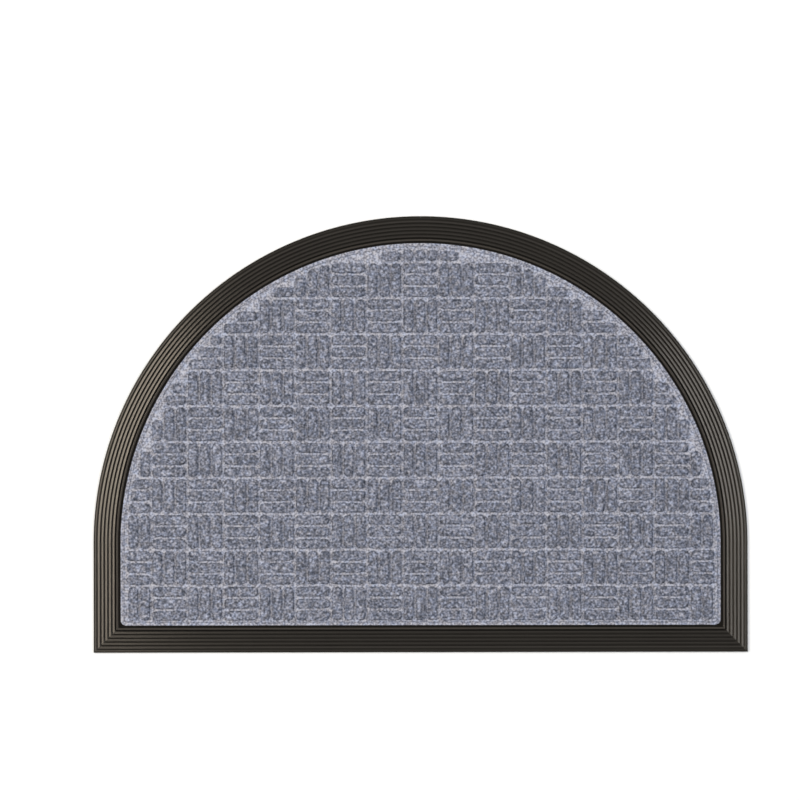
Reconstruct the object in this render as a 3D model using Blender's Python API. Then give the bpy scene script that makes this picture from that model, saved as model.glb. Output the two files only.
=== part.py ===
"""Half-round entrance doormat: a moulded rubber base with a ribbed, bevelled border, and a felt
carpet inlay embossed with a parquet of raised pads.

Metres, +Z up. The mat lies flat on z = 0, centred on the origin, with its straight edge at -Y and
its half-round edge at +Y.
"""

import math

import bmesh
import bpy
from mathutils import Vector
from mathutils.geometry import delaunay_2d_cdt

# Outline of the mat: a half circle on a short straight-sided strip.
MAT_WIDTH = 0.900
MAT_DEPTH = 0.600
ARC_RADIUS = MAT_WIDTH / 2
FRONT_Y = -MAT_DEPTH / 2
ARC_CENTRE_Y = MAT_DEPTH / 2 - ARC_RADIUS
ARC_STEPS = 60

# Rubber base: heights above the floor, and distances inwards from the outer edge.
TRAY_FLOOR_Z = 0.0022
BEVEL_OUTER_Z = 0.0014
BEVEL_INNER_Z = 0.0048
RIB_HEIGHT = 0.0014
RIB_PITCH = 0.00512
RIB_COUNT = 5
RIB_OUTER_RUN = 0.0027
RIB_CREST_WIDTH = 0.0003
RIB_INNER_RUN = 0.0011
LIP_HEIGHT = 0.0009
LIP_OUTER_RUN = 0.0026
LIP_CREST_WIDTH = 0.0003
LIP_INNER_RUN = 0.0009
RIDGE_CENTRE = 0.0327
RIDGE_CREST_WIDTH = 0.0026
RIDGE_OUTER_RUN = 0.0008
RIDGE_INNER_RUN = 0.0005
RIDGE_Z = 0.0068

# Carpet inlay: it starts past a narrow gap inside the ridge and lies just above the tray floor.
CARPET_INSET = 0.0372
CARPET_CORNER_RADIUS = 0.008
CARPET_CORNER_STEPS = 4
SEAT_GAP = 0.0003
GROOVE_Z = 0.0053
PAD_Z = 0.0076
EDGE_ROUNDING = 0.0006
BEAD_CENTRE = 0.0039
BEAD_HALF_WIDTH = 0.0010
BEAD_HEIGHT = 0.0006

# Parquet: square blocks of three pads, turned a quarter from each block to the next.
BLOCK = 0.0494
PADS_PER_BLOCK = 3
PAD_GROOVE = 0.0024
PAD_CORNER_CUT = 0.0038
PAD_SIDE_RUN = 0.0024
PAD_MARGIN = 0.0085
LOWEST_BLOCK_Y = FRONT_Y + 0.0432
BLOCK_ROWS = 11
BLOCK_COLUMNS_EACH_SIDE = 8
SMALLEST_PAD_WIDTH = 0.0060
SHORTEST_PAD_SIDE = 0.0020
MOST_CUT_OF_EDGE = 0.36
MOST_RUN_OF_SIDE = 0.30

PAD_LIMIT_INSET = CARPET_INSET + PAD_MARGIN

# Finishes: linear colours and roughness.
RUBBER_COLOUR = (0.018, 0.017, 0.015)
RUBBER_ROUGHNESS = 0.55
FELT_COLOUR = (0.215, 0.223, 0.270)
FELT_ROUGHNESS = 0.95

# Settings of the Delaunay triangulation that fills the grooves.
TRIANGLES_IN_OUTLINE = 1
MERGE_WITHIN = 1e-7


def clear_scene():
    for obj in list(bpy.data.objects):
        bpy.data.objects.remove(obj, do_unlink=True)


def principled(name, colour, roughness):
    material = bpy.data.materials.new(name)
    material.use_nodes = True
    shader = material.node_tree.nodes["Principled BSDF"]
    shader.inputs["Base Color"].default_value = (*colour, 1.0)
    shader.inputs["Roughness"].default_value = roughness
    shader.inputs["Metallic"].default_value = 0.0
    return material


def new_object(name, bm, material):
    bmesh.ops.recalc_face_normals(bm, faces=bm.faces)
    mesh = bpy.data.meshes.new(name)
    bm.to_mesh(mesh)
    bm.free()
    mesh.materials.append(material)
    obj = bpy.data.objects.new(name, mesh)
    bpy.context.collection.objects.link(obj)
    return obj


def arc_points(inset):
    """The half-round edge at an inset, from +X round to -X."""
    radius = ARC_RADIUS - inset
    angles = [math.pi * step / ARC_STEPS for step in range(ARC_STEPS + 1)]
    return [
        (radius * math.cos(angle), ARC_CENTRE_Y + radius * math.sin(angle)) for angle in angles
    ]


def corner_points(side, inset, corner_radius, steps):
    """One front corner at an inset, sharp or rounded, in the anticlockwise sense. side is -1 or 1."""
    reach = ARC_RADIUS - inset - corner_radius
    centre_y = FRONT_Y + inset + corner_radius
    if not steps:
        return [(side * reach, centre_y)]
    start = math.pi if side < 0 else 1.5 * math.pi
    angles = [start + 0.5 * math.pi * step / steps for step in range(steps + 1)]
    return [
        (side * reach + corner_radius * math.cos(angle), centre_y + corner_radius * math.sin(angle))
        for angle in angles
    ]


def mat_outline(inset, corner_radius=0.0, corner_steps=0):
    """The mat's outline at an inset, anticlockwise from the +X end of the half-round edge."""
    return (
        arc_points(inset)
        + corner_points(-1, inset, corner_radius, corner_steps)
        + corner_points(1, inset, corner_radius, corner_steps)
    )


def ring(bm, outline, z):
    return [bm.verts.new((x, y, z)) for x, y in outline]


def bridge_rings(bm, first, second):
    count = len(first)
    for here in range(count):
        after = (here + 1) % count
        bm.faces.new((first[here], first[after], second[after], second[here]))


def bevel_height(inset):
    """Height of the border between its ribs, at a distance inwards from the outer edge."""
    return BEVEL_OUTER_Z + (BEVEL_INNER_Z - BEVEL_OUTER_Z) * inset / RIDGE_CENTRE


def rib_profile(start, height, outer_run, crest_width, inner_run):
    """A rib's four corners as (inset, height): a long flank outwards, a crest, a steep inner flank."""
    crest_start = start + outer_run
    crest_end = crest_start + crest_width
    end = crest_end + inner_run
    return [
        (start, bevel_height(start)),
        (crest_start, bevel_height(crest_start) + height),
        (crest_end, bevel_height(crest_end) + height),
        (end, bevel_height(end)),
    ]


def border_profile():
    """The border from the underside, over the lip, the ribs and the ridge, to the tray floor."""
    profile = [(0.0, 0.0)]
    profile += rib_profile(0.0, LIP_HEIGHT, LIP_OUTER_RUN, LIP_CREST_WIDTH, LIP_INNER_RUN)
    for ribs_to_ridge in range(RIB_COUNT, 0, -1):
        start = RIDGE_CENTRE - ribs_to_ridge * RIB_PITCH - RIB_OUTER_RUN / 2
        profile += rib_profile(start, RIB_HEIGHT, RIB_OUTER_RUN, RIB_CREST_WIDTH, RIB_INNER_RUN)
    ridge_outer = RIDGE_CENTRE - RIDGE_CREST_WIDTH / 2
    ridge_inner = RIDGE_CENTRE + RIDGE_CREST_WIDTH / 2
    profile += [
        (ridge_outer - RIDGE_OUTER_RUN, bevel_height(ridge_outer - RIDGE_OUTER_RUN)),
        (ridge_outer, RIDGE_Z),
        (ridge_inner, RIDGE_Z),
        (ridge_inner + RIDGE_INNER_RUN, TRAY_FLOOR_Z),
    ]
    return profile


def make_rubber_base():
    """One moulding: the border profile carried round the outline, with mitred front corners."""
    bm = bmesh.new()
    rings = [ring(bm, mat_outline(inset), z) for inset, z in border_profile()]
    for outer, inner in zip(rings, rings[1:]):
        bridge_rings(bm, outer, inner)
    bm.faces.new(list(reversed(rings[0])))
    bm.faces.new(rings[-1])
    rubber = principled("moulded_black_rubber", RUBBER_COLOUR, RUBBER_ROUGHNESS)
    return new_object("rubber_base", bm, rubber)


def clip_polygon(points, start, end):
    """The part of a convex polygon that lies to the left of the line from start to end."""
    direction = end - start
    kept = []
    for here, after in zip(points, points[1:] + points[:1]):
        here_side = direction.cross(here - start)
        after_side = direction.cross(after - start)
        if here_side >= 0:
            kept.append(here)
        if here_side * after_side < 0:
            kept.append(here.lerp(after, here_side / (here_side - after_side)))
    return kept


def arc_crossings(x0, x1, y0, y1, radius):
    """Where the sides of an upright rectangle cross the half circle of this radius."""
    found = []
    for x in (x0, x1):
        if abs(x) < radius:
            y = ARC_CENTRE_Y + math.sqrt(radius**2 - x**2)
            if y0 < y < y1:
                found.append(Vector((x, y)))
    for y in (y0, y1):
        rise = y - ARC_CENTRE_Y
        if 0 < rise < radius:
            reach = math.sqrt(radius**2 - rise**2)
            found += [Vector((x, y)) for x in (-reach, reach) if x0 < x < x1]
    return found


def inside_limit(x, y, radius):
    return y < ARC_CENTRE_Y or math.hypot(x, y - ARC_CENTRE_Y) < radius


def pad_polygon(x0, x1, y0, y1):
    """A pad's rectangle, cut short by a straight line where it would pass the carpet's margin."""
    limit = ARC_RADIUS - PAD_LIMIT_INSET
    x0 = max(x0, -limit)
    x1 = min(x1, limit)
    if x1 - x0 < SMALLEST_PAD_WIDTH:
        return []
    corners = [Vector(corner) for corner in ((x0, y0), (x1, y0), (x1, y1), (x0, y1))]
    crossings = arc_crossings(x0, x1, y0, y1, limit)
    if len(crossings) == 2:
        start, end = sorted(crossings, key=lambda point: -point.x)
        return clip_polygon(corners, start, end)
    centre_inside = inside_limit((x0 + x1) / 2, (y0 + y1) / 2, limit)
    return corners if centre_inside else []


def narrowest(points):
    """The least width of a convex polygon, over the directions square to its sides."""
    widths = []
    for here, after in zip(points, points[1:] + points[:1]):
        along = (after - here).normalized()
        widths.append(max(along.cross(point - here) for point in points))
    return min(widths)


def without_short_sides(points):
    """The polygon without the corners that start a side too short to hold two cut corners."""
    following = points[1:] + points[:1]
    return [
        here for here, after in zip(points, following) if (after - here).length > SHORTEST_PAD_SIDE
    ]


def cut_corners(points):
    """Two points for each corner of a polygon, one on each of its sides."""
    count = len(points)
    cut = []
    for index, corner in enumerate(points):
        before = points[index - 1] - corner
        after = points[(index + 1) % count] - corner
        reach = min(PAD_CORNER_CUT, MOST_CUT_OF_EDGE * before.length, MOST_CUT_OF_EDGE * after.length)
        cut.append((corner + before.normalized() * reach, corner + after.normalized() * reach))
    return cut


def drawn_in(points, distance):
    """A convex anticlockwise polygon with every side moved inwards by the distance."""
    count = len(points)
    moved = []
    for index, corner in enumerate(points):
        incoming = (corner - points[index - 1]).normalized()
        outgoing = (points[(index + 1) % count] - corner).normalized()
        turn = incoming.cross(outgoing)
        moved.append(corner + (outgoing - incoming) * (distance / turn))
    return moved


def block_pads(column, row):
    """The rectangles of one block's pads: upright in even blocks, lying in odd ones."""
    left = (column - 0.5) * BLOCK
    bottom = LOWEST_BLOCK_Y + row * BLOCK
    pitch = BLOCK / PADS_PER_BLOCK
    gap = PAD_GROOVE / 2
    for step in range(PADS_PER_BLOCK):
        low = step * pitch + gap
        high = (step + 1) * pitch - gap
        if (column + row) % 2 == 0:
            yield left + low, left + high, bottom + gap, bottom + BLOCK - gap
        else:
            yield left + gap, left + BLOCK - gap, bottom + low, bottom + high


def all_pads():
    """The polygons of all pads that are left inside the margin, none narrower than the smallest."""
    pads = []
    for row in range(BLOCK_ROWS):
        for column in range(-BLOCK_COLUMNS_EACH_SIDE, BLOCK_COLUMNS_EACH_SIDE + 1):
            for rectangle in block_pads(column, row):
                polygon = without_short_sides(pad_polygon(*rectangle))
                if len(polygon) > 2 and narrowest(polygon) > SMALLEST_PAD_WIDTH:
                    pads.append(polygon)
    return pads


def raise_pad(bm, polygon):
    """One pad: a cut-cornered foot, sloping sides and a flat top. The foot's points are returned."""
    run = min(PAD_SIDE_RUN, MOST_RUN_OF_SIDE * narrowest(polygon))
    foot = [
        tuple(bm.verts.new((point.x, point.y, GROOVE_Z)) for point in pair)
        for pair in cut_corners(polygon)
    ]
    top = [bm.verts.new((point.x, point.y, PAD_Z)) for point in drawn_in(polygon, run)]
    count = len(top)
    for index, (before, after) in enumerate(foot):
        following = (index + 1) % count
        bm.faces.new((before, after, top[index]))
        bm.faces.new((after, foot[following][0], top[following], top[index]))
    bm.faces.new(top)
    return [vert for pair in foot for vert in pair]


def fill_grooves(bm, outer, holes):
    """Triangles between the margin's inner ring and the feet of the pads."""
    loops = [outer] + holes
    verts = []
    edges = []
    loop_of = []
    for number, loop in enumerate(loops):
        first = len(verts)
        count = len(loop)
        edges += [(first + here, first + (here + 1) % count) for here in range(count)]
        loop_of += [number] * count
        verts += loop
    flat = [vert.co.xy for vert in verts]
    _, _, faces, sources, _, _ = delaunay_2d_cdt(flat, edges, [], TRIANGLES_IN_OUTLINE, MERGE_WITHIN)
    for face in faces:
        corners = [sources[corner][0] for corner in face]
        touched = {loop_of[corner] for corner in corners}
        under_a_pad = len(touched) == 1 and touched != {0}
        if not under_a_pad:
            bm.faces.new([verts[corner] for corner in corners])


def margin_profile():
    """The carpet's rim from its underside, up the cut edge and over the bead, as (inset, height)."""
    return [
        (CARPET_INSET, TRAY_FLOOR_Z + SEAT_GAP),
        (CARPET_INSET, GROOVE_Z - EDGE_ROUNDING),
        (CARPET_INSET + EDGE_ROUNDING, GROOVE_Z),
        (CARPET_INSET + BEAD_CENTRE - BEAD_HALF_WIDTH, GROOVE_Z),
        (CARPET_INSET + BEAD_CENTRE, GROOVE_Z + BEAD_HEIGHT),
        (CARPET_INSET + BEAD_CENTRE + BEAD_HALF_WIDTH, GROOVE_Z),
    ]


def make_carpet_inlay():
    """One felt sheet: the rim carried round the outline, and the pads raised from its face."""
    bm = bmesh.new()
    rings = []
    for inset, z in margin_profile():
        radius = CARPET_CORNER_RADIUS - (inset - CARPET_INSET)
        rings.append(ring(bm, mat_outline(inset, radius, CARPET_CORNER_STEPS), z))
    for outer, inner in zip(rings, rings[1:]):
        bridge_rings(bm, outer, inner)
    bm.faces.new(list(reversed(rings[0])))
    feet = [raise_pad(bm, polygon) for polygon in all_pads()]
    fill_grooves(bm, rings[-1], feet)
    felt = principled("needle_punched_felt", FELT_COLOUR, FELT_ROUGHNESS)
    return new_object("carpet_inlay", bm, felt)


clear_scene()
make_rubber_base()
make_carpet_inlay()
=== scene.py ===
"""Looks of a half-round entrance mat: a moulded rubber base with a heather felt inlay, from above."""

import math

import bpy
import numpy as np
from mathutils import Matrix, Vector


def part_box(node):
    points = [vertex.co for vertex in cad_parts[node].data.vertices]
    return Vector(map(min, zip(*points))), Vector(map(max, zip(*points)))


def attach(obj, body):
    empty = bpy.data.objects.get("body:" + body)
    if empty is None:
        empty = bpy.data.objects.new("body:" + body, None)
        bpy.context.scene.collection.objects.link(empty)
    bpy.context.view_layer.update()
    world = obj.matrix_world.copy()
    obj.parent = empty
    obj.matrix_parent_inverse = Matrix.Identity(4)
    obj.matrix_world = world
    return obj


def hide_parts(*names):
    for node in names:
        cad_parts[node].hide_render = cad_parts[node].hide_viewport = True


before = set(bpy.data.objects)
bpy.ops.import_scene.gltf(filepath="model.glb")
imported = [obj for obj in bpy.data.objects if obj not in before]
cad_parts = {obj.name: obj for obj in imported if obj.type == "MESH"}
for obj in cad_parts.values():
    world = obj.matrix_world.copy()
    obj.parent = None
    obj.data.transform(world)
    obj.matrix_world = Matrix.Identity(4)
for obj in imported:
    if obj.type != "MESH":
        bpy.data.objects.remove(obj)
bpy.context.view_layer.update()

# The rubber base. It is one compression moulding of black rubber: a flat back, a bevelled border
# that rises inwards with concentric ribs and mitred front corners, an inner ridge, and a tray.
mm = 0.001
base_low, base_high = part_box("rubber_base")
arc_radius = (base_high.x - base_low.x) / 2
arc_centre_y = base_high.y - arc_radius
front_y = base_low.y
ridge_top = base_high.z
bevel_outer = 1.4 * mm
bevel_inner = 4.8 * mm
rib_count = 5
rib_pitch = 5.12 * mm
rib_height = 1.4 * mm
rib_outer_run = 2.7 * mm
rib_crest = 0.3 * mm
rib_inner_run = 1.1 * mm
lip_start = 1.3 * mm
lip_height = 0.65 * mm
lip_outer_run = 2.4 * mm
lip_inner_run = 0.7 * mm
ridge_inset = 32.7 * mm
ridge_crest = 2.6 * mm
ridge_run = 1.3 * mm
ridge_rounding = 0.3 * mm
tray_wall = 0.5 * mm
tray_floor = 2.2 * mm
arc_steps = 180
straight_steps = 24
front_steps = 96
round_points = 4
profile_step = 0.22 * mm


def to_linear(colour):
    """The linear RGBA of an sRGB hex colour such as "#80828e"."""
    srgb = np.array([int(colour[place : place + 2], 16) for place in (1, 3, 5)]) / 255
    linear = np.where(srgb <= 0.04045, srgb / 12.92, ((srgb + 0.055) / 1.055) ** 2.4)
    return (*linear, 1.0)


def add_node(material, kind, settings=None, *values, **named):
    """Adds a node and sets its properties, then sets each input, by place or name, or links it."""
    node = material.node_tree.nodes.new(kind)
    for name, value in (settings or {}).items():
        setattr(node, name, value)
    sockets = [socket for socket in node.inputs if socket.enabled]
    by_name = {socket.name.replace(" ", "_"): socket for socket in sockets}
    chosen = list(zip(sockets, values)) + [(by_name[name], value) for name, value in named.items()]
    for socket, value in chosen:
        if isinstance(value, bpy.types.Node):
            value = next(output for output in value.outputs if output.enabled)
        if isinstance(value, bpy.types.NodeSocket):
            material.node_tree.links.new(value, socket)
        else:
            socket.default_value = value
    return node


def new_material(name):
    """A node material with nothing in it yet."""
    material = bpy.data.materials.new(name)
    material.use_nodes = True
    material.node_tree.nodes.clear()
    return material


def new_piece(name, points, faces, material):
    """An object at the origin whose mesh has these points and faces, shaded smooth."""
    mesh = bpy.data.meshes.new(name)
    mesh.from_pydata(points.tolist(), [], faces)
    mesh.update()
    mesh.shade_smooth()
    mesh.materials.append(material)
    piece = bpy.data.objects.new(name, mesh)
    bpy.context.scene.collection.objects.link(piece)
    return piece


def grid_faces(loops):
    """Quads between neighbouring rows of a table of point numbers whose rows are closed rings."""
    after = np.roll(loops, -1, 1)
    return np.stack([loops[:-1], after[:-1], after[1:], loops[1:]], 2).reshape(-1, 4).tolist()


def border_path():
    """The mat's outline, and how far each of its points moves for each unit of inset.

    On the arc a point at angle a is centre + radius (cos a, sin a) and moves along -(cos a, sin a).
    On the straight sides a point moves by the inset, and towards the middle in proportion to how
    near it lies to its corner, so that the corners stay sharp and mitred.
    """
    angle = np.linspace(0, np.pi, arc_steps + 1)
    arc = np.stack([np.cos(angle), np.sin(angle)], 1)
    down = np.linspace(0, 1, straight_steps + 1)[1:]
    across = np.linspace(-1, 1, front_steps + 1)[1:]
    side_y = arc_centre_y + (front_y - arc_centre_y) * down
    full = np.ones_like(down)
    level = np.ones_like(across)
    points = np.concatenate([
        arc * arc_radius + (0, arc_centre_y),
        np.stack([-arc_radius * full, side_y], 1),
        np.stack([arc_radius * across, front_y * level], 1),
        np.stack([arc_radius * full, side_y], 1)[::-1][1:],
    ])
    moves = np.concatenate([
        -arc,
        np.stack([full, down], 1),
        np.stack([-across, level], 1),
        np.stack([-full, down], 1)[::-1][1:],
    ])
    return points, moves


def rib(inset, start, outer_run, crest, inner_run):
    """A rounded rib, 0 to 1: it climbs over the outer run, holds its crest, then drops inwards.

    Half of the climb t is straight and half is the smooth step 3t^2 - 2t^3, which rounds its ends.
    """
    climb = (inset - start) / outer_run
    drop = (start + outer_run + crest + inner_run - inset) / inner_run
    rise = np.clip(np.minimum(climb, drop), 0, 1)
    return 0.5 * rise + 0.5 * rise * rise * (3 - 2 * rise)


def border_profile():
    """Inset and height up the outer edge, over the lip, the ribs and the ridge, to the tray floor.

    The bevel is a straight slope, and the lip and the ribs are added to it. The ridge replaces it,
    and ends in a quarter round and a wall.
    """
    inset = np.arange(0, ridge_inset + ridge_crest / 2, profile_step)
    bevel = bevel_outer + (bevel_inner - bevel_outer) * inset / ridge_inset
    height = bevel + lip_height * rib(inset, lip_start, lip_outer_run, rib_crest, lip_inner_run)
    for place in range(1, rib_count + 1):
        start = ridge_inset - place * rib_pitch - rib_outer_run / 2
        height += rib_height * rib(inset, start, rib_outer_run, rib_crest, rib_inner_run)
    ridge_start = ridge_inset - ridge_crest / 2 - ridge_run / 2
    height += (ridge_top - bevel) * rib(inset, ridge_start, ridge_run, 2 * ridge_crest, ridge_run)
    outer_edge = np.linspace(0, height[0], round_points)[:-1]
    turn = np.linspace(0, np.pi / 2, round_points)[1:]
    round_inset = inset[-1] + ridge_rounding * np.sin(turn)
    round_height = ridge_top - ridge_rounding * (1 - np.cos(turn))
    wall_inset = inset[-1] + np.array([tray_wall, tray_wall + ridge_rounding])
    wall_height = tray_floor + np.array([ridge_rounding, 0])
    return np.stack([
        np.concatenate([0 * outer_edge, inset, round_inset, wall_inset]),
        np.concatenate([outer_edge, height, round_height, wall_height]),
    ], 1)


def swept_border():
    """The grid P(j, i) = (path_i + inset_j * move_i, height_j), closed by a back and a tray floor."""
    path, moves = border_path()
    profile = border_profile()
    flat = path[None] + profile[:, 0][:, None, None] * moves[None]
    height = np.broadcast_to(profile[:, 1][:, None, None], flat.shape[:2] + (1,))
    points = np.concatenate([flat, height], 2).reshape(-1, 3)
    loops = np.arange(len(points)).reshape(flat.shape[:2])
    back = loops[0].tolist()[::-1]
    floor = loops[-1].tolist()
    return points, grid_faces(loops) + [back, floor]


def keep_edges_crisp(mesh):
    """Marks the edges along the two front mitres, round the back and round the tray as sharp."""
    around = len(border_path()[0])
    ends = np.empty(2 * len(mesh.edges), int)
    mesh.edges.foreach_get("vertices", ends)
    row, column = np.divmod(ends.reshape(-1, 2), around)
    left_corner = arc_steps + straight_steps
    right_corner = left_corner + front_steps
    on_mitre = (column[:, 0] == column[:, 1]) & np.isin(column[:, 0], [left_corner, right_corner])
    on_rim = (row[:, 0] == row[:, 1]) & np.isin(row[:, 0], [0, row.max()])
    sharp = mesh.attributes.new("sharp_edge", "BOOLEAN", "EDGE")
    sharp.data.foreach_set("value", on_mitre | on_rim)


# Carbon-black rubber as it leaves the mould: near black, with a dusty bloom that shows as a beige
# sheen on the ribs' flanks, a painted highlight that makes the ridge's crest paler, and a fine
# lattice that grips the floor.
# The mould's grain is drawn about three times as coarse as it is, because a finer one doesn't show.
bloom_size = 45 * mm
grain_size = 1.1 * mm
grain_depth = 0.1 * mm
lattice_pitch = 4 * mm
lattice_depth = 1.5 * mm
back_skin = 0.05 * mm
crest_highlight_depth = 0.5 * mm
rubber = new_material("moulded_carbon_black_rubber")
place = add_node(rubber, "ShaderNodeTexCoord").outputs["Object"]
height = add_node(rubber, "ShaderNodeSeparateXYZ", None, place).outputs["Z"]
bloom = add_node(rubber, "ShaderNodeTexNoise", Vector=place, Scale=1 / bloom_size, Detail=4.0, Roughness=0.6)
grain = add_node(rubber, "ShaderNodeTexNoise", Vector=place, Scale=1 / grain_size, Detail=2.0, Roughness=0.6)
# Painted highlight: towards the ridge's top the colour is mixed to a paler tone.
crest_highlight = add_node(
    rubber, "ShaderNodeMapRange",
    Value=height, From_Min=ridge_top - crest_highlight_depth, From_Max=ridge_top, To_Min=0.0, To_Max=1.0,
)
dusty = add_node(
    rubber, "ShaderNodeMix", {"data_type": "RGBA"},
    Factor=bloom, A=to_linear("#0e0d0c"), B=to_linear("#161513"),
)
tone = add_node(
    rubber, "ShaderNodeMix", {"data_type": "RGBA"},
    Factor=crest_highlight, A=dusty, B=to_linear("#3a3632"),
)
lattice = add_node(
    rubber, "ShaderNodeTexVoronoi", {"voronoi_dimensions": "2D", "feature": "DISTANCE_TO_EDGE"},
    Vector=place, Scale=1 / lattice_pitch, Randomness=0.0,
)
on_back = add_node(rubber, "ShaderNodeMath", {"operation": "LESS_THAN"}, height, back_skin)
grip = add_node(rubber, "ShaderNodeMath", {"operation": "MULTIPLY"}, lattice, on_back)
lattice_bump = add_node(rubber, "ShaderNodeBump", Strength=0.6, Distance=lattice_depth, Height=grip)
bump = add_node(
    rubber, "ShaderNodeBump",
    Strength=0.3, Distance=grain_depth, Height=grain, Normal=lattice_bump,
)
gloss = add_node(rubber, "ShaderNodeMapRange", Value=bloom, To_Min=0.26, To_Max=0.36)
shader = add_node(
    rubber, "ShaderNodeBsdfPrincipled",
    Base_Color=tone, Roughness=gloss, Normal=bump, IOR=1.52, Specular_Tint=to_linear("#fff2e3"),
)
add_node(rubber, "ShaderNodeOutputMaterial", Surface=shader)

base = new_piece("rubber_border_and_back", *swept_border(), rubber)
keep_edges_crisp(base.data)
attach(base, "root")
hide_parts("rubber_base")

# The carpet inlay. It is one sheet of needle-punched felt, pressed hot into the tray, so that pads
# stand up in a parquet and the grooves and the margin are pressed flat. A thin bead and a shallow
# seam line run round the margin.
inlay_low, inlay_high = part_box("carpet_inlay")
inlay_inset = inlay_low.x - base_low.x
inlay_corner = 8 * mm
groove_z = 5.3 * mm
pad_height = inlay_high.z - groove_z
block = 49.4 * mm
pads_per_block = 3
pad_pitch = block / pads_per_block
pad_groove = 2.8 * mm
pad_corner = 5.6 * mm
pad_shoulder = 2.2 * mm
pad_crown = 7.0 * mm
crown_share = 0.15
pile_lean = 1.0 * mm
pad_limit = 45.7 * mm
least_pad = 2 * mm
lowest_block_y = front_y + 42.6 * mm
bead_place = 4.7 * mm
bead_half_width = 1.1 * mm
bead_height = 0.6 * mm
seam_half_width = 0.9 * mm
seam_depth = 0.35 * mm
edge_rounding = 0.9 * mm
bead_points = 5
seam_points = 4
edge_points = 3
face_inset = bead_place + bead_half_width
cell_lines = np.array([0, 1.2, 2.1, 3.6]) * mm
blocks_across = 17
blocks_up = 11
wander = 0.32 * mm
long_wave = 30 * mm
short_wave = 11 * mm
wave_count = 6
least_stretch = 0.7
most_stretch = 1.4
waviness = 0.06 * mm
dimple_size = 9 * mm
tiny = 1e-9


def inlay_distance(x, y, inset, corner):
    """How far a point lies inside the inlay's outline at an inset, and the outward direction.

    It is the lesser of the distances to the round side, radius - |p - centre|, which is straight
    below the arc's centre, and to the front edge. Where both are under the corner's radius, it is
    that radius less the hypotenuse of what each lacks.
    """
    rise = np.maximum(y - arc_centre_y, 0)
    reach = np.maximum(np.hypot(x, rise), tiny)
    side = arc_radius - inlay_inset - inset - reach
    ahead = y - (front_y + inlay_inset + inset)
    from_side = np.maximum(corner - side, 0)
    from_front = np.maximum(corner - ahead, 0)
    lack = np.hypot(from_side, from_front)
    distance = np.where(lack > 0, corner - lack, np.minimum(side, ahead))
    lack = np.maximum(lack, tiny)
    return distance, from_side * x / reach / lack, (from_side * rise / reach - from_front) / lack


def pad_depth(x, y):
    """How far a point lies inside its pad, negative in the grooves.

    The pad is a rounded rectangle, upright or lying by the parity of its block. Where it would
    pass a line along the arc, its outer end is drawn in until the corners' circles touch the line,
    and a pad that has too little left is left out.
    """
    column = np.floor(x / block + 0.5)
    row = np.floor((y - lowest_block_y) / block)
    in_x = x - (column - 0.5) * block
    in_y = y - lowest_block_y - row * block
    upright = (column + row) % 2 == 0
    across = np.where(upright, in_x, in_y)
    along = np.where(upright, in_y, in_x) - block / 2
    middle = (np.clip(np.floor(across / pad_pitch), 0, pads_per_block - 1) + 0.5) * pad_pitch
    half_width = pad_pitch / 2 - pad_groove / 2 - pad_corner
    reach = block / 2 - pad_groove / 2 - pad_corner
    pad_x = np.where(upright, (column - 0.5) * block + middle, column * block)
    pad_y = lowest_block_y + row * block + np.where(upright, block / 2, middle)
    line = arc_radius - pad_limit - pad_corner
    far = np.where(upright, np.abs(pad_x), np.maximum(pad_y - arc_centre_y, 0)) + half_width
    chord = np.sqrt(np.maximum(line**2 - far**2, 0))
    room = np.where(upright, arc_centre_y + chord - pad_y, chord - np.abs(pad_x))
    outer_reach = np.where(far < line, np.minimum(reach, room), -block)
    outward = np.where(upright, along, np.where(column == 0, np.abs(along), along * np.sign(column)))
    over_x = np.abs(across - middle) - half_width
    over_y = np.maximum(outward - outer_reach, -outward - reach)
    outside = np.hypot(np.maximum(over_x, 0), np.maximum(over_y, 0))
    depth = pad_corner - outside - np.minimum(np.maximum(over_x, over_y), 0)
    depth = np.where(outer_reach + reach < least_pad, np.minimum(depth, 0), depth)
    return np.where(row < 0, np.minimum(depth, y - lowest_block_y), depth)


def unevenness(x, y, size, seed):
    """Smooth random waves of about this size: the mean of plane waves with seeded phases.

    Each wave is the sine of the distance along its own direction, in its own stretch of the size.
    """
    random = np.random.default_rng(seed)
    least = (0, 0, least_stretch)
    most = (np.pi, 2 * np.pi, most_stretch)
    angle, phase, stretch = random.uniform(least, most, (wave_count, 3)).T[:, :, None, None]
    along = x.reshape(1, 1, -1) * np.cos(angle) + y.reshape(1, 1, -1) * np.sin(angle)
    waves = np.sin(2 * np.pi * along * stretch / size + phase)
    return waves.mean(0).reshape(x.shape)


def face_height(x, y):
    """Height of the carpet's face: the groove level, plus a quarter-ellipse shoulder on each pad.

    A low crown, a parabola of the depth inside the pad, lies on top and leans to the front with
    the pile. The pads' edges wander and the whole face is slightly wavy, as pressed felt is.
    """
    moved_x = x + wander * (unevenness(x, y, long_wave, 1) + unevenness(x, y, short_wave, 3))
    moved_y = y + wander * (unevenness(x, y, long_wave, 2) + unevenness(x, y, short_wave, 5))
    depth = pad_depth(moved_x, moved_y)
    shoulder = np.sqrt(1 - (1 - np.clip(depth / pad_shoulder, 0, 1)) ** 2)
    leaning = pad_depth(moved_x, moved_y + pile_lean)
    crown = shoulder * (1 - (1 - np.clip(leaning / pad_crown, 0, 1)) ** 2)
    pad = (1 - crown_share) * shoulder + crown_share * crown
    return groove_z + (pad_height - waviness) * pad + waviness * unevenness(x, y, dimple_size, 4)


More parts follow.
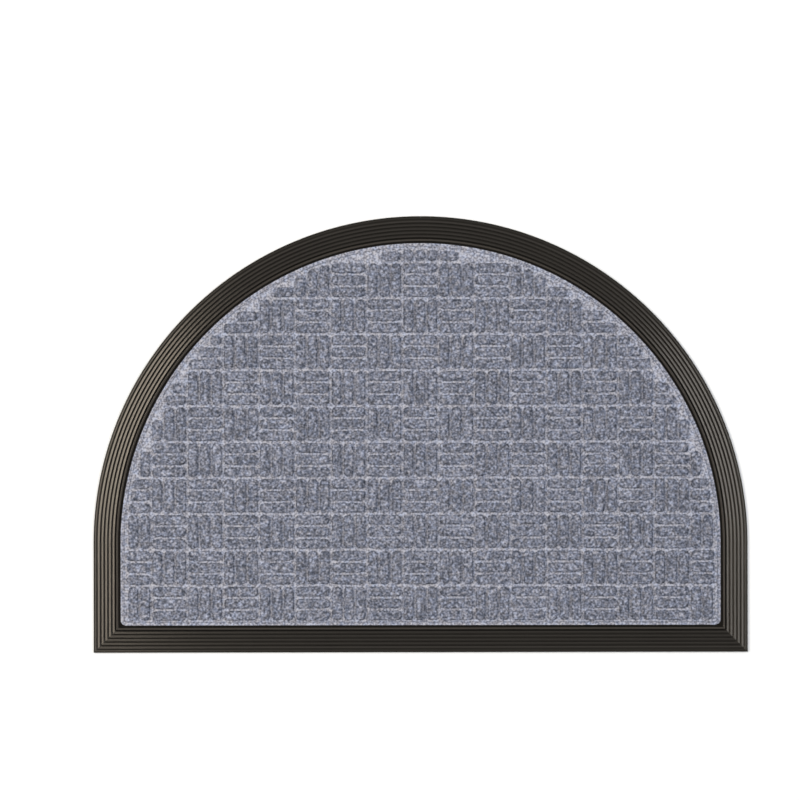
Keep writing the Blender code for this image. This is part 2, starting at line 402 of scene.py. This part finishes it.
def pressed_face():
    """The carpet's face as a grid on the parquet's own lines, cut to the outline.

    From the middle of each groove the lines lie at the distances in cell_lines, close together on
    the pads' shoulders, and one more follows the middle of each pad. Points outside the face, or
    less than half a cell inside it, are moved onto its edge, and cells wholly outside are left
    out. The points on the edge are returned as a ring, in order round a point in the middle.
    """
    lines = np.concatenate([cell_lines, [pad_pitch / 2], pad_pitch - cell_lines[:0:-1]])
    columns = np.arange(blocks_across * pads_per_block) - blocks_across * pads_per_block / 2
    rows = np.arange(-1, blocks_up * pads_per_block)
    x = (columns[:, None] * pad_pitch + lines).reshape(-1)
    y = (lowest_block_y + rows[:, None] * pad_pitch + lines).reshape(-1)
    x, y = np.meshgrid(x, y)
    distance, out_x, out_y = inlay_distance(x, y, face_inset, inlay_corner - face_inset)
    inside = distance > cell_lines[1] / 2
    x = np.where(inside, x, x + distance * out_x)
    y = np.where(inside, y, y + distance * out_y)
    kept = inside[:-1, :-1] | inside[1:, :-1] | inside[:-1, 1:] | inside[1:, 1:]
    index = np.arange(x.size).reshape(x.shape)
    quads = np.stack([index[:-1, :-1], index[:-1, 1:], index[1:, 1:], index[1:, :-1]], 2)[kept]
    used, quads = np.unique(quads, return_inverse=True)
    quads = quads.reshape(-1, 4)
    x = x.reshape(-1)[used]
    y = y.reshape(-1)[used]
    ends = np.sort(np.concatenate([np.roll(quads, -turn, 1)[:, :2] for turn in range(4)]), 1)
    edges, count = np.unique(ends, axis=0, return_counts=True)
    rim = np.unique(edges[count == 1])
    rim = rim[np.argsort(np.arctan2(y[rim] - arc_centre_y / 2, x[rim]))]
    return np.stack([x, y, face_height(x, y)], 1), quads, rim


def rim_profile():
    """Distance outwards from the face, and height above the groove: bead, seam and rounded edge.

    The bead is the parabola height (1 - d^2), with d from -1 to 1 across it, and the seam is such
    a parabola downwards. The edge is a quarter circle, and the sheet's cut side drops from it.
    """
    bead = np.linspace(-1, 1, bead_points)[1:]
    seam = np.linspace(-1, 1, seam_points)[1:]
    turn = np.linspace(0, np.pi / 2, edge_points)
    underside = inlay_low.z - groove_z
    seam_middle = 2 * bead_half_width + seam_half_width
    distance = np.concatenate([
        bead_half_width * (1 + bead),
        seam_middle + seam_half_width * seam,
        face_inset - edge_rounding * (1 - np.sin(turn)),
        [face_inset],
    ])
    height = np.concatenate([
        bead_height * (1 - bead**2),
        -seam_depth * (1 - seam**2),
        -edge_rounding * (1 - np.cos(turn)),
        [underside],
    ])
    return distance, height


def finished_inlay():
    """The face, the rim's profile carried out from each point of its edge, and a flat underside."""
    face, quads, rim = pressed_face()
    _, out_x, out_y = inlay_distance(face[rim, 0], face[rim, 1], face_inset, inlay_corner - face_inset)
    distance, height = rim_profile()
    ring_x = face[rim, 0] + distance[:, None] * out_x
    ring_y = face[rim, 1] + distance[:, None] * out_y
    ring_z = np.broadcast_to(groove_z + height[:, None], ring_x.shape)
    rings = np.stack([ring_x, ring_y, ring_z], 2).reshape(-1, 3)
    loops = np.concatenate([rim[None], len(face) + np.arange(len(rings)).reshape(ring_x.shape)])
    sides = grid_faces(loops[::-1])
    underside = loops[-1].tolist()[::-1]
    return np.concatenate([face, rings]), quads.tolist() + sides + [underside]


# Needle-punched polypropylene felt in heather blue-grey: dark and light fibres mixed, matt. It is
# paler and smoother where it was pressed hard, in the grooves and along the margin. The pads'
# shoulders carry painted shade, darker than the grooves and the tops, and the seam's hollow is
# painted darker too. Light scatters between the fibres, so a slope shows only a share of its tilt.
# The fibres are about 0.05 mm thick, and are drawn as streaks ten times as wide, in two crossing
# directions, because finer ones don't show.
tuft_size = 2.9 * mm
tuft_contrast = 0.97
tuft_depth = 0.7 * mm
fibre_width = 0.55 * mm
fibre_thinness = 0.3
combed_turn = 0.5
crossed_turn = -0.8
fibre_contrast = 0.85
fibre_depth = 0.15 * mm
patch_size = 20 * mm
patch_contrast = 0.27
average_added = 1.035
fleck_size = 7 * mm
edge_fuzz = 0.4 * mm
groove_tone = 0.762
shoulder_shade_tone = 0.415
crown_tone = 0.52
pressed_below = 0.02
shoulder_above = 0.4
crown_begins = 0.55
crown_full = 0.97
seam_shade_strength = 0.08
pressed_warmth = 0.17
warm_fleck = 0.27
cool_fleck = 0.57
tilt_shown = 0.52
upright_share = 0.5
felt = new_material("needle_punched_polypropylene_felt")
place = add_node(felt, "ShaderNodeTexCoord").outputs["Object"]
tuft = add_node(felt, "ShaderNodeTexNoise", Vector=place, Scale=1 / tuft_size, Detail=0.0)
combed = add_node(
    felt, "ShaderNodeMapping",
    Vector=place, Rotation=(0.0, 0.0, combed_turn), Scale=(fibre_thinness, 1.0, 1.0),
)
crossed = add_node(
    felt, "ShaderNodeMapping",
    Vector=place, Rotation=(0.0, 0.0, crossed_turn), Scale=(fibre_thinness, 1.0, 1.0),
)
one_way = add_node(
    felt, "ShaderNodeTexNoise",
    Vector=combed, Scale=1 / fibre_width, Detail=1.0, Distortion=0.8,
)
other_way = add_node(
    felt, "ShaderNodeTexNoise",
    Vector=crossed, Scale=1 / fibre_width, Detail=1.0, Distortion=0.8,
)
fibre = add_node(felt, "ShaderNodeMath", {"operation": "MAXIMUM"}, one_way, other_way)
patch = add_node(felt, "ShaderNodeTexNoise", Vector=place, Scale=1 / patch_size, Detail=3.0, Roughness=0.65)
fleck = add_node(felt, "ShaderNodeTexNoise", Vector=place, Scale=1 / fleck_size, Detail=2.0, Roughness=0.7)
level = add_node(felt, "ShaderNodeSeparateXYZ", None, place).outputs["Z"]
rough_level = add_node(felt, "ShaderNodeMath", {"operation": "MULTIPLY_ADD"}, tuft, edge_fuzz, level)
groove = groove_z + edge_fuzz / 2
# Paler where the felt was pressed flat, in the grooves and along the margin, and painted shade on the pads'
# shoulders, where the tone falls to its darkest.
pressed_and_shaded = add_node(
    felt, "ShaderNodeMapRange", {"interpolation_type": "SMOOTHSTEP"},
    rough_level, groove + pressed_below * pad_height, groove + shoulder_above * pad_height,
    groove_tone, shoulder_shade_tone,
)
# Painted shade, continued: towards the pads' tops the tone rises again, so each shoulder stays a dark ring.
crowned = add_node(
    felt, "ShaderNodeMapRange", None,
    rough_level, groove + crown_begins * pad_height, groove + crown_full * pad_height,
    0.0, crown_tone - shoulder_shade_tone,
)
# Painted shade in the seam's hollow: below the groove level the felt is darker.
seam_shade = add_node(
    felt, "ShaderNodeMapRange", None,
    level, groove_z - seam_depth, groove_z - waviness, -seam_shade_strength, 0.0,
)
raised = add_node(felt, "ShaderNodeMath", {"operation": "ADD"}, pressed_and_shaded, crowned)
ground = add_node(felt, "ShaderNodeMath", {"operation": "ADD"}, raised, seam_shade)
tufted = add_node(felt, "ShaderNodeMath", {"operation": "MULTIPLY_ADD"}, tuft, tuft_contrast, ground)
patched = add_node(felt, "ShaderNodeMath", {"operation": "MULTIPLY_ADD"}, patch, patch_contrast, tufted)
streaked = add_node(felt, "ShaderNodeMath", {"operation": "MULTIPLY_ADD"}, fibre, fibre_contrast, patched)
mixed = add_node(felt, "ShaderNodeMath", {"operation": "SUBTRACT"}, streaked, average_added)
heather = add_node(felt, "ShaderNodeValToRGB", Fac=mixed)
heather.color_ramp.elements[0].color = to_linear("#292b33")
heather.color_ramp.elements[1].color = to_linear("#c2c5d3")
heather.color_ramp.elements.new(0.25).color = to_linear("#4a4d57")
heather.color_ramp.elements.new(0.5).color = to_linear("#6d707c")
heather.color_ramp.elements.new(0.75).color = to_linear("#9597a5")
warmer = add_node(felt, "ShaderNodeMath", {"operation": "MULTIPLY_ADD"}, pressed_and_shaded, -pressed_warmth, fleck)
tint = add_node(felt, "ShaderNodeValToRGB", Fac=warmer)
tint.color_ramp.elements[0].position = warm_fleck
tint.color_ramp.elements[0].color = to_linear("#fbf6f0")
tint.color_ramp.elements[1].position = cool_fleck
tint.color_ramp.elements[1].color = to_linear("#eff5ff")
colour = add_node(
    felt, "ShaderNodeMix", {"data_type": "RGBA", "blend_type": "MULTIPLY"},
    Factor=1.0, A=heather, B=tint,
)
facing = add_node(felt, "ShaderNodeNewGeometry").outputs["Normal"]
flatter = add_node(
    felt, "ShaderNodeVectorMath", {"operation": "MULTIPLY_ADD"},
    facing, (tilt_shown, tilt_shown, 1.0), (0.0, 0.0, upright_share),
)
scattered = add_node(felt, "ShaderNodeVectorMath", {"operation": "NORMALIZE"}, flatter)
fluff = add_node(
    felt, "ShaderNodeBump", Strength=0.3, Distance=fibre_depth, Height=fibre, Normal=scattered,
)
nap = add_node(
    felt, "ShaderNodeBump", Strength=0.4, Distance=tuft_depth, Height=tuft, Normal=fluff,
)
shader = add_node(
    felt, "ShaderNodeBsdfPrincipled",
    Base_Color=colour, Roughness=0.95, Normal=nap, Specular_IOR_Level=0.2,
)
add_node(felt, "ShaderNodeOutputMaterial", Surface=shader)

carpet = new_piece("felt_inlay", *finished_inlay(), felt)
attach(carpet, "root")
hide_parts("carpet_inlay")

# The floor: a plain white round table top, much larger than the mat. It is left open under the mat,
# so that the mat's back is lit and seen from below, and from above nothing of that shows.
floor_radius = 8.0
opening_inset = 3 * mm
outline, moves = border_path()
far_edge = outline / np.hypot(outline[:, :1], outline[:, 1:]) * floor_radius
floor_points = np.pad(np.concatenate([far_edge, outline + opening_inset * moves]), ((0, 0), (0, 1)))
floor_loops = np.arange(len(floor_points)).reshape(2, -1)
paint = new_material("white_studio_floor")
shader = add_node(paint, "ShaderNodeBsdfPrincipled", Base_Color=to_linear("#ffffff"), Roughness=0.9)
add_node(paint, "ShaderNodeOutputMaterial", Surface=shader)
floor = new_piece("studio_floor", floor_points, grid_faces(floor_loops), paint)

# Studio light: low softboxes to the left and right that catch the ribs' flanks, the left one a
# little warmer, a small one in front of the left corner, and pale walls under a dark ceiling.
wall_glow = 1.05
ceiling_glow = 0.25


def softbox(name, place, width, height, power, colour):
    """A soft area light at a place, turned to face the mat, that the camera doesn't see."""
    light = bpy.data.lights.new(name, "AREA")
    light.shape = "RECTANGLE"
    light.size = width
    light.size_y = height
    light.energy = power
    light.color = to_linear(colour)[:3]
    lamp = bpy.data.objects.new(name, light)
    lamp.location = place
    lamp.rotation_euler = (-Vector(place)).to_track_quat("-Z", "Y").to_euler()
    lamp.visible_camera = False
    bpy.context.scene.collection.objects.link(lamp)


softbox("left_low", (-4.5, 1.3, 2.1), 4.0, 2.0, 275, "#fffaf0")
softbox("right_low", (4.6, 1.15, 2.1), 3.8, 2.0, 158, "#f5faff")
softbox("front_left", (-0.5, -0.95, 0.4), 0.1, 0.2, 0.9, "#fffaf0")
world = bpy.data.worlds.new("studio")
world.use_nodes = True
world.node_tree.nodes.clear()
direction = add_node(world, "ShaderNodeTexCoord").outputs["Generated"]
upward = add_node(world, "ShaderNodeSeparateXYZ", None, direction).outputs["Z"]
glow = add_node(world, "ShaderNodeMapRange", Value=upward, To_Min=wall_glow, To_Max=ceiling_glow)
sky = add_node(world, "ShaderNodeBackground", Color=to_linear("#ffffff"), Strength=glow)
add_node(world, "ShaderNodeOutputWorld", Surface=sky)
bpy.context.scene.world = world
bpy.context.scene.view_settings.view_transform = "Standard"

# The camera looks straight down, as in the photograph, through a long lens. The mat's centre stands
# a little right of and below the middle of the square frame, and the mat is turned a little.
frame_pixels = 800
mat_width_pixels = 654.0
mat_centre_pixels = (420.3, 434.2)
pixel = 2 * arc_radius / mat_width_pixels
mat_turn = math.radians(0.1)
lens = 200.0
sensor = 36.0
camera_height = bevel_outer + frame_pixels * pixel * lens / sensor
view = bpy.data.cameras.new("photo_view")
view.lens = lens
view.sensor_width = sensor
view.clip_end = 100.0
camera = bpy.data.objects.new("photo_view", view)
camera.location = (
    (frame_pixels / 2 - mat_centre_pixels[0]) * pixel,
    (mat_centre_pixels[1] - frame_pixels / 2) * pixel,
    camera_height,
)
camera.rotation_euler.z = -mat_turn
bpy.context.scene.collection.objects.link(camera)
bpy.context.scene.camera = camera
